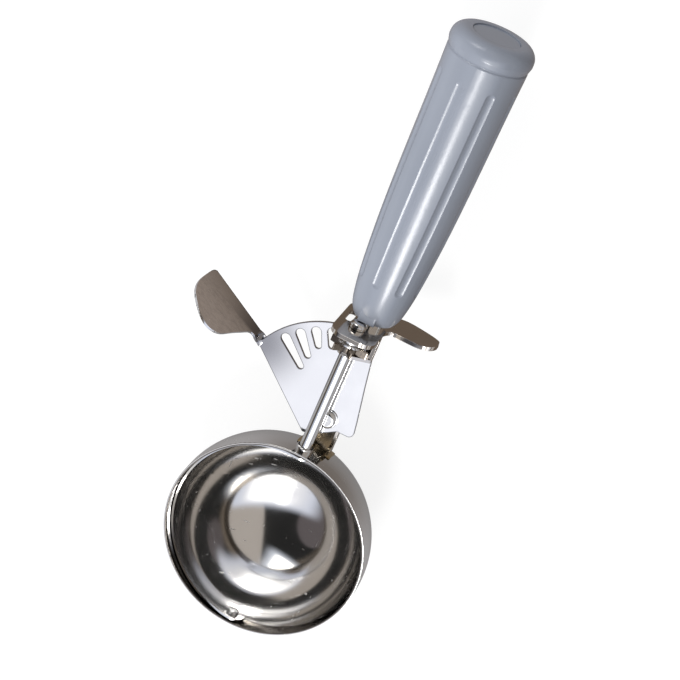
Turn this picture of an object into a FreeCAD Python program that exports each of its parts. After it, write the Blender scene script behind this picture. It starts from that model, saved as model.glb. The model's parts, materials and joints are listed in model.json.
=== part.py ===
import FreeCAD, Part
import math
import os
from FreeCAD import Rotation, Vector

# Thumb-lever ice cream scoop, millimetres.
# Working frame: bowl centre at the origin, +X along the tool to the handle's
# butt, +Y to the thumb lever, +Z out of the bowl's mouth.

# Bowl
bowl_radius = 36.0
bowl_wall = 0.9
rim_rise = 5.0
lip_round = 0.2

# Scraper blade, a half-round band that sweeps the bowl
sweep_gap = 0.3
blade_thick = 0.7
blade_width = 9.0
blade_rest_drop_deg = 7.0
blade_ear_radius = 4.5

# Scraper rod and its bearings
rod_radius = 2.2
journal_step = 0.7
fit_gap = 0.05
bush_wall = 0.5
bush_flange_step = 0.35
bush_flange_length = 1.5
bush_flange_round = 0.5
tip_pin_radius = 1.4
rivet_head_step = 0.6
rivet_head_height = 1.0
rivet_head_round = 0.6
rivet_gap = 0.12

# Lever pivot and rack slots
pivot_reach = 12.0
pivot_y = -2.5
slot_pitch_deg = 10.4
slot_overrun = 1.1
slot_half_width = 1.75
slot_lag_deg = 1.5
slot_inner_half_width = 1.15
slot_lengths = [4.0, 4.4, 4.6, 4.8, 7.8, 10.6]
rack_rim_width = 1.85
rack_thick = 1.0
rack_left_deg = 66.7
rack_right_deg = -7.5
rack_washer_gap = 0.2
heel_gap = 0.9
heel_round = 0.9
lobe_round = 2.0
lobe_spots = [(16.6, -7.3), (3.2, -9.7), (-2.8, -10.6), (-2.8, -4.6), (-4.6, -2.0), (-7.4, 2.6)]
heel_rise = 6.2

# Pinion
pinion_teeth = 6
pinion_reach = 29.8
pinion_hub_wall = 1.1
pinion_tip_radius = 6.9
pinion_root_half = 0.9
pinion_tip_half = 0.42
pinion_length = 2.4
pinion_pin_radius = 0.6

# Thumb pad, a flange bent up from the rack plate
pad_length = 28.4
pad_lean_deg = 16.0
pad_height = 17.8
pad_inset_deg = 2.33
pad_turn_deg = 7.7
strap_width = 4.0
strap_twist_length = 4.0
strap_overlap = 1.2
# Leaf outline from its foot to its tip, as shares of the pad's length and height
pad_outline = [
    (0.16, 0.14), (0.20, 0.24), (0.30, 0.56), (0.42, 0.90), (0.55, 1.00),
    (0.82, 0.87), (0.97, 0.67), (1.02, 0.44), (1.02, 0.12),
]
# The leaf's last corners, as a share of its length and a height over its lower edge
pad_tip_corners = [(0.995, 1.0), (0.97, 0.4)]

# Neck channel
neck_y = -2.4
neck_half_width = 5.2
neck_wall = 1.0
neck_bottom_z = -12.2
neck_flange_drop = 1.6
neck_ear_top_z = -4.2
neck_ear_length = 2.4
neck_ear_round = 1.2
neck_bite = 12.0
neck_inner_round = 0.4
braze_spread = 1.1
braze_thick = 0.6

# Pivot stud
stud_shoulder_step = 0.6
stud_shank_step = 0.3
stud_head_radius = 3.7
stud_head_height = 1.2
washer_radius = 3.6
washer_thick = 0.4
axial_gap = 0.1

# Return spring
spring_wire_radius = 0.4
spring_turns = 3
spring_side_gap = 0.2
spring_inner_gap = 0.5
spring_end_gap = 0.1
spring_leg = 8.0
spring_peg_radius = 0.8
spring_upper_deg = -30.0
spring_extra_turn = 0.25

# Bolster plate with the finger rest
bolster_thick = 1.5
bolster_left_y = 7.3
bolster_right_y = -8.3
bolster_top_z = 10.0
bolster_bottom_z = -18.6
bolster_corner = 4.8
rest_reach_y = -25.8
rest_low_z = -22.0
rest_tip_z = -12.4
rest_high_z = -6.8
rest_tip_rise_x = 2.6
# Rest outline below and above, as shares of its reach and offsets from its low and high edges
rest_low_spots = [(0.15, 0.0), (0.50, 2.0), (0.82, 5.4)]
rest_high_spots = [(0.95, -1.4), (0.82, 0.0), (0.55, -0.5), (0.25, -2.0), (0.08, -1.9)]
weep_slot_width = 2.6
weep_slot_length = 9.0
weep_slot_margin = 1.7
weep_slot_rise = 1.6

# Lower bearing ear
ear_gap = 0.2
ear_thick = 1.2
ear_round = 2.2
ear_top_z = 3.1
ear_left_y = 3.0
ear_low_top_z = -0.9
tooth_gap = 0.3
rack_clearance = 0.4

# Washers and collar beside the pinion
thrust_washer_thick = 0.8
thrust_washer_step = 1.1
collar_wall = 1.4
collar_length = 3.85
end_play = 0.15
dome_step = 0.7
dome_height = 2.3

# Tang, ferrule and handle
handle_z = -8.0
tang_side_gap = 0.7
tang_thick = 3.4
tang_reach = 14.8
tang_length = 81.0
tang_rivet_radius = 1.5
tang_rivet_head_radius = 2.6
tang_rivet_head_height = 1.0
tang_rivet_margin = 4.0
tang_rivet_spread = 7.0
ferrule_wall = 0.26
dome_gap = 0.3
handle_length = 105.35
handle_end_wall = 2.3
handle_low_radius = 9.4
handle_mid_radius = 11.9
handle_band_radius = 14.25
handle_band_step = 0.5
handle_low_offset = 5.95
handle_mid_offset = 33.95
handle_high_offset = 8.0
handle_band_offset = 5.2
handle_end_lead = 1.6
handle_end_swell = 0.9
handle_low_swell = 0.35
handle_high_swell = 0.1
butt_round = 4.2
groove_depth = 0.35
groove_half = 0.5
flute_count = 8
flute_depth = 0.5
flute_radius = 3.15
flute_phase_deg = 11.0
flute_start_offset = 14.95
flute_end_offset = 16.4
plug_margin = 1.85
plug_depth = 3.0
plug_recess = 0.4
prong_width = 6.0
prong_length = 13.0
prong_height = 1.2
prong_offset = 0.6

# Values that follow from the sizes above
journal_radius = rod_radius - journal_step
bowl_inner = bowl_radius - bowl_wall
blade_outer = bowl_inner - sweep_gap
blade_inner = blade_outer - blade_thick
rod_bore = rod_radius + fit_gap
bush_sleeve_radius = rod_bore + bush_wall
bush_flange_radius = bush_sleeve_radius + bush_flange_step
tip_head_radius = tip_pin_radius + rivet_head_step
blade_head_radius = journal_radius + rivet_head_step
neck_ear_end_x = bowl_radius + neck_ear_length
pivot_x = bowl_radius + pivot_reach
slot_outer_radius = math.hypot(pinion_reach, pivot_y) + slot_overrun
rack_radius = slot_outer_radius + slot_half_width + rack_rim_width
pinion_hub_radius = rod_radius + pinion_hub_wall
thrust_washer_radius = pinion_hub_radius + thrust_washer_step
rack_top_z = -(thrust_washer_radius + rack_washer_gap)
rack_bottom_z = rack_top_z - rack_thick
neck_flange_top_z = rack_bottom_z - neck_flange_drop
web_top_z = neck_bottom_z + neck_wall
pinion_centre_x = pivot_x + pinion_reach
pinion_start_x = pinion_centre_x - pinion_length / 2
pinion_end_x = pinion_centre_x + pinion_length / 2
ear_x = pinion_start_x - ear_gap - ear_thick
washer_end_x = pinion_end_x + thrust_washer_thick
collar_radius = rod_radius + collar_wall
collar_end_x = washer_end_x + collar_length
bolster_x = collar_end_x + end_play
bolster_end_x = bolster_x + bolster_thick
dome_radius = rod_radius + dome_step
dome_start_x = bolster_end_x + end_play
tang_half = neck_half_width - neck_wall - tang_side_gap
tang_low_z = web_top_z
tang_high_z = web_top_z + tang_thick
tang_start_x = bolster_x - tang_reach
tang_end_x = tang_start_x + tang_length
ferrule_radius = ferrule_wall + math.hypot(
    tang_half, max(abs(tang_low_z - handle_z), abs(tang_high_z - handle_z))
)
handle_start_x = dome_start_x + dome_height + dome_gap
handle_end_x = handle_start_x + handle_length
handle_low_x = handle_start_x + handle_low_offset
handle_mid_x = handle_start_x + handle_mid_offset
handle_high_x = handle_end_x - handle_high_offset
handle_band_x = handle_end_x - handle_band_offset
handle_end_radius = ferrule_radius + handle_end_wall
handle_high_radius = handle_band_radius - handle_band_step
flute_start_x = handle_start_x + flute_start_offset
flute_end_x = handle_end_x - flute_end_offset
plug_radius = handle_band_radius - butt_round - plug_margin
ear_right_y = -(pinion_tip_radius + tooth_gap + ear_thick)
spring_coil_radius = (
    neck_half_width - neck_wall - spring_wire_radius - spring_side_gap - abs(pivot_y - neck_y)
)
stud_shoulder_radius = spring_coil_radius - spring_wire_radius - spring_inner_gap
stud_shank_radius = stud_shoulder_radius - stud_shank_step
pivot_journal_radius = stud_shoulder_radius - stud_shoulder_step
spring_pitch = (
    (rack_bottom_z - web_top_z - 2 * spring_end_gap - 2 * spring_wire_radius)
    / (spring_turns + spring_extra_turn)
)
mesh_deg = math.degrees(math.asin(-pivot_y / (pinion_centre_x - pivot_x)))
mesh_ratio = 360.0 / pinion_teeth / slot_pitch_deg
pivot_point = Vector(pivot_x, pivot_y, 0)
axis_x = Vector(1, 0, 0)
axis_y = Vector(0, 1, 0)
axis_z = Vector(0, 0, 1)


def rod_x(radius, start, end, y=0.0, z=0.0):
    # Round bar along X between two stations
    return Part.makeCylinder(radius, end - start, Vector(start, y, z), axis_x)


def rod_z(radius, low, high, x, y):
    # Round bar along Z between two heights
    return Part.makeCylinder(radius, high - low, Vector(x, y, low), axis_z)


def block(x0, x1, y0, y1, z0, z1):
    return Part.makeBox(x1 - x0, y1 - y0, z1 - z0, Vector(x0, y0, z0))


def plate_between(points, direction):
    # Closed outline of straight edges, thickened along a direction
    wire = Part.makePolygon(points + [points[0]])
    return Part.Face(wire).extrude(direction)


def soften(shape, radius, keep):
    # Rounds the edges that the test picks
    edges = [e for e in shape.Edges if keep(e)]
    return shape.makeFillet(radius, edges)


def upright(edge, direction):
    # True for a straight edge that runs along the direction
    if len(edge.Vertexes) != 2:
        return False
    line = edge.Vertexes[1].Point - edge.Vertexes[0].Point
    return line.Length > 0 and abs(line.normalize().dot(direction)) > 0.999


def turned(points, start, direction):
    # Solid of revolution from (station, radius) pairs along an axis
    side = axis_z if abs(direction.z) < 0.5 else axis_x
    spots = [start + direction * s + side * r for s, r in points]
    face = Part.Face(Part.makePolygon(spots + [spots[0]]))
    return face.revolve(start, direction, 360)


def bowl_envelope():
    # Outer form of the bowl, filled, for fitting pieces against it
    half = Part.makeSphere(bowl_radius, Vector(0, 0, 0), axis_z, -90, 0, 360)
    band = Part.makeCylinder(bowl_radius, rim_rise, Vector(0, 0, 0), axis_z)
    return half.fuse(band)


def make_bowl():
    def quarter(radius, first, last):
        middle = Vector(radius * math.sqrt(0.5), 0, -radius * math.sqrt(0.5))
        return Part.Arc(first, middle, last).toShape()

    def lip(centre_x, first, last, side):
        part = lip_round * math.sqrt(0.5)
        middle = Vector(centre_x + side * part, 0, rim_rise - lip_round + part)
        return Part.Arc(first, middle, last).toShape()

    outer = Vector(bowl_radius, 0, 0)
    inner = Vector(bowl_inner, 0, 0)
    outer_top = Vector(bowl_radius, 0, rim_rise - lip_round)
    inner_top = Vector(bowl_inner, 0, rim_rise - lip_round)
    flat_outer = Vector(bowl_radius - lip_round, 0, rim_rise)
    flat_inner = Vector(bowl_inner + lip_round, 0, rim_rise)
    edges = [
        quarter(bowl_radius, Vector(0, 0, -bowl_radius), outer),
        Part.makeLine(outer, outer_top),
        lip(bowl_radius - lip_round, outer_top, flat_outer, 1),
        Part.makeLine(flat_outer, flat_inner),
        lip(bowl_inner + lip_round, flat_inner, inner_top, -1),
        Part.makeLine(inner_top, inner),
        quarter(bowl_inner, inner, Vector(0, 0, -bowl_inner)),
        Part.makeLine(Vector(0, 0, -bowl_inner), Vector(0, 0, -bowl_radius)),
    ]
    profile = Part.Face(Part.Wire(edges))
    profile.rotate(Vector(0, 0, 0), axis_z, 90)
    shell = profile.revolve(Vector(0, 0, 0), axis_z, 360)
    shell = shell.cut(rod_x(bush_sleeve_radius, bowl_inner - 4, bowl_radius + 4))
    return shell.cut(rod_x(tip_pin_radius, -bowl_radius - 4, -bowl_inner + 4))


def make_bowl_bush():
    # Turned bearing brazed through the bowl's wall for the scraper rod
    inner_end = bowl_inner + fit_gap
    sleeve = rod_x(bush_sleeve_radius, inner_end, bowl_radius + 1)
    flange_end = bowl_radius + bush_flange_length
    flange = rod_x(bush_flange_radius, bowl_radius - 3, flange_end)
    flange = soften(flange, bush_flange_round, lambda e: e.BoundBox.XMin > flange_end - 0.1)
    flange = flange.cut(bowl_envelope())
    return sleeve.fuse(flange).removeSplitter().cut(rod_x(rod_bore, 0, flange_end + 1))


def make_tip_rivet():
    # Shouldered rivet at the far rim on which the blade's tip ear turns
    inside = -blade_inner + rivet_gap
    outside = -bowl_radius - rivet_head_height
    inner_end = inside + rivet_head_height
    pin = rod_x(tip_pin_radius, outside + 0.3, inside + rivet_head_height / 2)
    head = rod_x(tip_head_radius, inside, inner_end)
    head = soften(head, rivet_head_round, lambda e: e.BoundBox.XMin > inner_end - 0.1)
    cap = rod_x(tip_head_radius, outside, -bowl_radius + 2)
    cap = soften(cap, rivet_head_round, lambda e: e.BoundBox.XMax < outside + 0.1)
    cap = cap.cut(bowl_envelope())
    return pin.fuse([head, cap]).removeSplitter()


def blade_ball(radius):
    # Ball whose seam and poles lie away from the blade's band
    ball = Part.makeSphere(radius)
    ball.rotate(Vector(0, 0, 0), axis_z, -90)
    return ball


def make_blade():
    half = blade_width / 2
    reach = blade_outer + 5
    band = block(-reach, reach, 0, reach, -half, half)
    region = band.fuse(rod_x(blade_ear_radius, -reach, reach))
    blade = blade_ball(blade_outer).cut(blade_ball(blade_inner)).common(region)
    blade = blade.cut(rod_x(journal_radius, 0, reach))
    blade = blade.cut(rod_x(tip_pin_radius + fit_gap, -reach, 0))
    blade.rotate(Vector(0, 0, 0), axis_x, -blade_rest_drop_deg)
    return blade


def make_blade_rivet():
    # Domed head that clamps the blade's ear to the rod's end
    start = blade_inner - rivet_head_height
    head = rod_x(blade_head_radius, start - 0.2, blade_outer)
    head = soften(head, rivet_head_round, lambda e: e.BoundBox.XMax < start)
    head = head.common(blade_ball(blade_inner))
    return head.cut(rod_x(journal_radius, start + 0.4, blade_outer))


def make_rod():
    shoulder = blade_outer + fit_gap
    start = blade_inner - rivet_head_height + 0.4
    journal = rod_x(journal_radius, start, shoulder + 1)
    main = rod_x(rod_radius, shoulder, dome_start_x)
    stub = rod_x(journal_radius, dome_start_x - 1, dome_start_x + dome_height / 2)
    rod = journal.fuse([main, stub]).removeSplitter()
    return rod.cut(cross_pin())


def cross_pin():
    # Pin that locks the pinion to the rod
    length = 2 * pinion_hub_radius - 0.6
    start = Vector(pinion_centre_x, -length / 2, 0)
    pin = Part.makeCylinder(pinion_pin_radius, length, start, axis_y)
    pin.rotate(Vector(0, 0, 0), axis_x, 360.0 / pinion_teeth / 2)
    return pin


def make_pinion():
    hub = rod_x(pinion_hub_radius, pinion_start_x, pinion_end_x)
    root = pinion_hub_radius - 0.6
    tip = pinion_tip_radius
    low = tip - pinion_tip_half
    teeth = []
    for k in range(pinion_teeth):
        points = [
            Vector(pinion_start_x, -pinion_root_half, -root),
            Vector(pinion_start_x, pinion_root_half, -root),
            Vector(pinion_start_x, pinion_tip_half, -low),
            Vector(pinion_start_x, 0.5 * pinion_tip_half, -tip),
            Vector(pinion_start_x, -0.5 * pinion_tip_half, -tip),
            Vector(pinion_start_x, -pinion_tip_half, -low),
        ]
        tooth = plate_between(points, axis_x * pinion_length)
        turn = 360.0 / pinion_teeth * (k + 0.5) - slot_lag_deg * mesh_ratio
        tooth.rotate(Vector(0, 0, 0), axis_x, turn)
        teeth.append(tooth)
    gear = hub.fuse(teeth).removeSplitter()
    gear = gear.cut(rod_x(rod_radius, pinion_start_x - 1, pinion_end_x + 1))
    return gear.cut(cross_pin())


def make_thrust_washer():
    disc = rod_x(thrust_washer_radius, pinion_end_x, washer_end_x)
    disc = disc.makeFillet(0.2, [e for e in disc.Edges if not upright(e, axis_x)])
    return disc.cut(rod_x(rod_radius, pinion_start_x, washer_end_x + 1))


def make_collar():
    ring = rod_x(collar_radius, washer_end_x, collar_end_x)
    ring = ring.makeFillet(0.5, [e for e in ring.Edges if not upright(e, axis_x)])
    return ring.cut(rod_x(rod_radius, washer_end_x - 1, collar_end_x + 1))


def make_end_dome():
    # Domed nut on the rod's end, outside the bolster plate
    end = dome_start_x + dome_height
    dome = rod_x(dome_radius, dome_start_x, end)
    dome = soften(dome, dome_height * 0.7, lambda e: e.BoundBox.XMin > end - 0.1)
    return dome.cut(rod_x(journal_radius, dome_start_x - 1, dome_start_x + dome_height / 2))


def slot_angle(k):
    return mesh_deg + (k - 0.5) * slot_pitch_deg - slot_lag_deg


def rack_slot(k):
    # Rounded slot that narrows towards the pivot
    angle = slot_angle(k)
    inner = slot_outer_radius - slot_lengths[k]
    low = rack_bottom_z - 1
    high = rack_top_z + 1
    wide = rod_z(slot_half_width, low, high, slot_outer_radius, 0)
    narrow = rod_z(slot_inner_half_width, low, high, inner, 0)
    lean = math.asin((slot_half_width - slot_inner_half_width) / (slot_outer_radius - inner))
    points = []
    for radius, half, side in (
        (slot_outer_radius, slot_half_width, 1),
        (inner, slot_inner_half_width, 1),
        (inner, slot_inner_half_width, -1),
        (slot_outer_radius, slot_half_width, -1),
    ):
        x = radius - half * math.sin(lean)
        points.append(Vector(x, side * half * math.cos(lean), low))
    body = plate_between(points, axis_z * (high - low))
    slot = body.fuse([wide, narrow]).removeSplitter()
    slot.rotate(Vector(0, 0, 0), axis_z, angle)
    slot.translate(pivot_point)
    return slot


def rack_point(radius, degrees, z):
    a = math.radians(degrees)
    return Vector(pivot_x + radius * math.cos(a), pivot_y + radius * math.sin(a), z)


def pad_frame(shape):
    # Moves a shape from the pad's own axes to its place on the rack plate
    shape.rotate(Vector(0, 0, 0), axis_z, rack_left_deg - pad_turn_deg)
    shape.translate(rack_point(rack_radius, rack_left_deg - pad_inset_deg, 0))
    return shape


def strap_section(s, degrees):
    # Rectangle across the strap, turned about the strap's middle line
    a = math.radians(degrees)
    centre = Vector(s, 0, rack_top_z - rack_thick / 2)
    wide = Vector(0, math.cos(a), math.sin(a)) * (strap_width / 2)
    thick = Vector(0, -math.sin(a), math.cos(a)) * (rack_thick / 2)
    points = [centre + wide + thick, centre - wide + thick, centre - wide - thick]
    points.append(centre + wide - thick)
    return Part.makePolygon(points + [points[0]])


def make_pad():
    # A strap leaves the rack plate's corner and turns up into the leaf
    upright_deg = 90.0 - pad_lean_deg
    start = -strap_overlap
    sections = []
    for step in range(5):
        share = step / 4
        sections.append(strap_section(start + share * strap_twist_length, share * upright_deg))
    strap = Part.makeLoft(sections, True, False)
    return pad_frame(strap.fuse(pad_leaf(start + strap_twist_length, upright_deg)).removeSplitter())


def pad_leaf(start, degrees):
    # Leaf in the plane of the turned strap, as one smooth outline
    a = math.radians(degrees)
    up = Vector(0, math.cos(a), math.sin(a))
    thick = Vector(0, -math.sin(a), math.cos(a)) * rack_thick
    origin = Vector(0, 0, rack_top_z - rack_thick / 2) - thick / 2
    low = -strap_width / 2
    knots = [(start, strap_width / 2)]
    knots += [(along * pad_length, across * pad_height) for along, across in pad_outline]
    knots += [(along * pad_length, low + rise) for along, rise in pad_tip_corners]
    curve = Part.BSplineCurve()
    curve.interpolate([origin + axis_x * s + up * w for s, w in knots])
    first = origin + axis_x * knots[0][0] + up * knots[0][1]
    last = origin + axis_x * knots[-1][0] + up * knots[-1][1]
    foot = origin + axis_x * start + up * low
    edges = [curve.toShape(), Part.makeLine(last, foot), Part.makeLine(foot, first)]
    return Part.Face(Part.Wire(edges)).extrude(thick)


def make_lever():
    # Rack plate with its slots and the thumb pad, one stamping
    z = rack_bottom_z
    up = axis_z * rack_thick
    heel_x = neck_ear_end_x + heel_gap
    outline = [
        Vector(heel_x, pivot_y + heel_rise, z),
        rack_point(rack_radius, rack_left_deg, z),
        rack_point(rack_radius, rack_right_deg, z),
    ]
    outline += [Vector(pivot_x + x, pivot_y + y, z) for x, y in lobe_spots]
    edges = []
    for i, point in enumerate(outline):
        after = outline[(i + 1) % len(outline)]
        if i == 1:
            middle = rack_point(rack_radius, (rack_left_deg + rack_right_deg) / 2, z)
            edges.append(Part.Arc(point, middle, after).toShape())
        else:
            edges.append(Part.makeLine(point, after))
    plate = Part.Face(Part.Wire(edges)).extrude(up)
    lobe = [e for e in plate.Edges if upright(e, axis_z) and e.BoundBox.YMax < pivot_y - 8.5
            and e.BoundBox.XMax < pivot_x + 5]
    plate = plate.makeFillet(lobe_round, lobe)
    corners = [e for e in plate.Edges if upright(e, axis_z) and e.BoundBox.XMax < pivot_x - 4]
    plate = plate.makeFillet(heel_round, corners)
    lever = plate.fuse(make_pad()).removeSplitter()
    for k in range(len(slot_lengths)):
        lever = lever.cut(rack_slot(k))
    lever = lever.cut(rod_z(pivot_journal_radius + fit_gap, z - 1, rack_top_z + 1, pivot_x, pivot_y))
    peg = peg_place()
    return lever.cut(rod_z(spring_peg_radius, z - 1, rack_top_z + 1, peg.x, peg.y))


def peg_place():
    # Where the spring's upper leg pushes the rack plate
    along = spring_leg - 1.4
    side = spring_coil_radius + spring_wire_radius + spring_peg_radius + 0.02
    a = math.radians(spring_upper_deg)
    radial = Vector(math.cos(a), math.sin(a), 0)
    tangent = Vector(-math.sin(a), math.cos(a), 0)
    return pivot_point + radial * side + tangent * along


def make_spring_peg():
    peg = peg_place()
    bottom = rack_bottom_z - 2 * spring_wire_radius - 0.2
    return rod_z(spring_peg_radius, bottom, rack_top_z, peg.x, peg.y)


def make_neck():
    # Stamped channel from the bowl's wall to the bolster plate
    left = neck_y + neck_half_width
    right = neck_y - neck_half_width
    start = bowl_radius - neck_bite
    body = block(start, bolster_x, right, left, neck_bottom_z, neck_flange_top_z)
    ears = block(start, neck_ear_end_x, right, left, neck_bottom_z, neck_ear_top_z)
    body = body.fuse(ears).removeSplitter()
    lower = [
        e for e in body.Edges
        if upright(e, axis_x) and e.BoundBox.ZMax < neck_bottom_z + 0.1
    ]
    body = body.makeFillet(neck_wall + neck_inner_round, lower)
    inside = block(
        start - 1, bolster_x + 1, right + neck_wall, left - neck_wall, web_top_z, 0
    )
    floor = [
        e for e in inside.Edges
        if upright(e, axis_x) and e.BoundBox.ZMax < web_top_z + 0.1
    ]
    body = body.cut(inside.makeFillet(neck_inner_round, floor))
    tops = [
        e for e in body.Edges
        if upright(e, axis_y) and e.BoundBox.ZMin > neck_ear_top_z - 0.1
        and e.BoundBox.XMin > neck_ear_end_x - 0.1
    ]
    body = body.makeFillet(neck_ear_round, tops)
    body = body.cut(bowl_envelope())
    body = body.cut(rod_z(stud_shank_radius, neck_bottom_z - 1, web_top_z + 1, pivot_x, pivot_y))
    for x in tang_rivet_places():
        body = body.cut(rod_z(tang_rivet_radius, neck_bottom_z - 1, web_top_z + 1, x, neck_y))
    return body


def make_braze():
    # Brazed seam round the channel's foot on the bowl
    left = neck_y + neck_half_width
    right = neck_y - neck_half_width
    spread = braze_spread
    start = bowl_radius - neck_bite
    seam = block(
        start, neck_ear_end_x - 0.6, right - spread, left + spread,
        neck_bottom_z - spread, neck_ear_top_z,
    )
    skin = Part.makeSphere(bowl_radius + braze_thick)
    seam = seam.common(skin).cut(bowl_envelope())
    core = block(start - 1, neck_ear_end_x, right, left, neck_bottom_z, 1)
    edges = [
        e for e in core.Edges
        if upright(e, axis_x) and e.BoundBox.ZMax < neck_bottom_z + 0.1
    ]
    return seam.cut(core.makeFillet(neck_wall + neck_inner_round, edges))


def make_pivot_stud():
    # Shouldered stud riveted into the channel's web
    top = rack_top_z + axial_gap + washer_thick
    shoulder_top = rack_bottom_z - axial_gap
    head_low = neck_bottom_z - stud_head_height
    head = rod_z(stud_head_radius, head_low, neck_bottom_z, pivot_x, pivot_y)
    head = soften(head, 0.8, lambda e: e.BoundBox.ZMax < head_low + 0.1)
    shank = rod_z(stud_shank_radius, neck_bottom_z - 0.2, web_top_z, pivot_x, pivot_y)
    shoulder = rod_z(stud_shoulder_radius, web_top_z, shoulder_top, pivot_x, pivot_y)
    journal = rod_z(pivot_journal_radius, shoulder_top - 0.2, top, pivot_x, pivot_y)
    return head.fuse([shank, shoulder, journal]).removeSplitter()


def make_pivot_washer():
    low = rack_top_z + axial_gap
    disc = rod_z(washer_radius, low, low + washer_thick, pivot_x, pivot_y)
    return disc.cut(rod_z(pivot_journal_radius, low - 1, low + 1, pivot_x, pivot_y))


def make_pivot_cap():
    # Low domed head on top of the washer
    low = rack_top_z + axial_gap + washer_thick
    high = -rod_radius - 0.5
    cap = rod_z(washer_radius - 0.4, low, high, pivot_x, pivot_y)
    return soften(cap, 0.9 * (high - low), lambda e: e.BoundBox.ZMin > high - 0.1)


def biarc(p0, t0, p1, t1):
    # Two arcs that join two points along given directions
    v = p1 - p0
    t = t0 + t1
    k = 2 * (1 - t0.dot(t1))
    d = (-v.dot(t) + math.sqrt(v.dot(t) ** 2 + k * v.dot(v))) / k
    q0 = p0 + t0 * d
    q1 = p1 - t1 * d
    join = (q0 + q1) * 0.5
    arcs = []
    for start, control, end in ((p0, q0, join), (join, q1, p1)):
        middle = (start + end) * 0.5
        rise = (control - middle).Length
        half = (end - start).Length / 2
        beta = math.atan2(rise, half)
        top = middle + (control - middle) * (math.tan(beta / 2) / math.tan(beta))
        arcs.append(Part.Arc(start, top, end).toShape())
    return arcs


def spring_point(turn):
    # Centre line of the coil at a number of turns from its lower end
    a = math.radians(spring_upper_deg) - 2 * math.pi * (spring_turns + spring_extra_turn - turn)
    z = web_top_z + spring_wire_radius + spring_end_gap + spring_pitch * turn
    place = pivot_point + Vector(math.cos(a), math.sin(a), 0) * spring_coil_radius
    place.z = z
    rise = spring_pitch / (2 * math.pi * spring_coil_radius)
    heading = Vector(-math.sin(a), math.cos(a), rise)
    return place, heading.normalize()


def make_spring():
    # Torsion coil round the stud, with a leg at each end
    quarters = int(round((spring_turns + spring_extra_turn) * 4))
    first, first_way = spring_point(0)
    last, last_way = spring_point(quarters / 4)
    flat_first = Vector(first_way.x, first_way.y, 0).normalize()
    flat_last = Vector(last_way.x, last_way.y, 0).normalize()
    edges = []
    samples = []
    for q in range(quarters):
        p0, t0 = spring_point(q / 4)
        p1, t1 = spring_point((q + 1) / 4)
        if q == 0:
            t0 = flat_first
        if q == quarters - 1:
            t1 = flat_last
        edges += biarc(p0, t0, p1, t1)
    lower_end = first - flat_first * lower_leg()
    upper_end = last + flat_last * spring_leg
    edges.insert(0, Part.makeLine(lower_end, first))
    edges.append(Part.makeLine(last, upper_end))
    wire = Part.Wire(edges)
    for edge in edges:
        samples += edge.discretize(Number=13)[:-1]
    print("spring: least gap between turns", round(self_gap(samples), 3), "mm")
    circle = Part.Circle(lower_end, flat_first, spring_wire_radius).toShape()
    shell = Part.BRepOffsetAPI.MakePipeShell(wire)
    shell.add(Part.Wire(circle))
    shell.build()
    shell.makeSolid()
    return shell.shape()


def lower_leg():
    # The lower leg runs to the channel's right flange
    first, way = spring_point(0)
    inner_face = neck_y - neck_half_width + neck_wall
    room = spring_wire_radius + 0.1
    reach = (first.y - inner_face - room) / max(way.y, 0.05)
    return max(1.0, min(spring_leg, reach))


def self_gap(points):
    # Least distance between stretches of the wire that lie a turn apart
    least = 1000.0
    apart = 26
    for i, a in enumerate(points):
        for b in points[i + apart:]:
            least = min(least, (a - b).Length)
    return least - 2 * spring_wire_radius


def make_bolster():
    # Bolster plate square to the tool's axis, with the finger rest
    flat = block(
        bolster_x, bolster_end_x, bolster_right_y, bolster_left_y,
        bolster_bottom_z, bolster_top_z,
    )
    flat = soften(flat, bolster_corner, lambda e: upright(e, axis_x))
    plate = flat.fuse(make_finger_rest()).removeSplitter()
    plate = plate.cut(rod_x(rod_bore, bolster_x - 1, bolster_end_x + 1))
    plate = plate.cut(tang_bar())
    return plate.cut(weep_slot())


def make_finger_rest():
    # Tongue that curves from the plate towards the handle
    t = bolster_thick
    root_y = bolster_right_y + bolster_corner + 1.0
    tip = Vector(bolster_x + rest_tip_rise_x, rest_reach_y, 0)
    start = Vector(bolster_x, root_y, 0)
    leave = Vector(bolster_x, bolster_right_y, 0)
    middle = (leave + tip) * 0.5 + Vector(-0.16 * rest_tip_rise_x, 0, 0)
    curve = Part.BSplineCurve()
    curve.interpolate(
        Points=[leave, middle, tip], InitialTangent=Vector(0, -8, 0), FinalTangent=Vector(2.4, -8, 0)
    )
    near = curve.toShape()
    samples = near.discretize(Number=9)
    outer = []
    for i, p in enumerate(samples):
        before = samples[max(i - 1, 0)]
        after = samples[min(i + 1, len(samples) - 1)]
        way = (after - before).normalize()
        outer.append(p + Vector(-way.y, way.x, 0) * t)
    back = Part.BSplineCurve()
    back.interpolate(Points=list(reversed(outer)))
    outer_start = Vector(bolster_end_x, root_y, 0)
    lines = [
        Part.makeLine(start, leave),
        near,
        Part.makeLine(tip, outer[-1]),
        back.toShape(),
        Part.makeLine(outer[0], outer_start),
        Part.makeLine(outer_start, start),
    ]
    face = Part.Face(Part.Wire(lines))
    sheet = face.extrude(axis_z * (bolster_top_z - bolster_bottom_z + 10))
    sheet.translate(Vector(0, 0, bolster_bottom_z - 8))
    return sheet.common(rest_outline(root_y))


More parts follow.
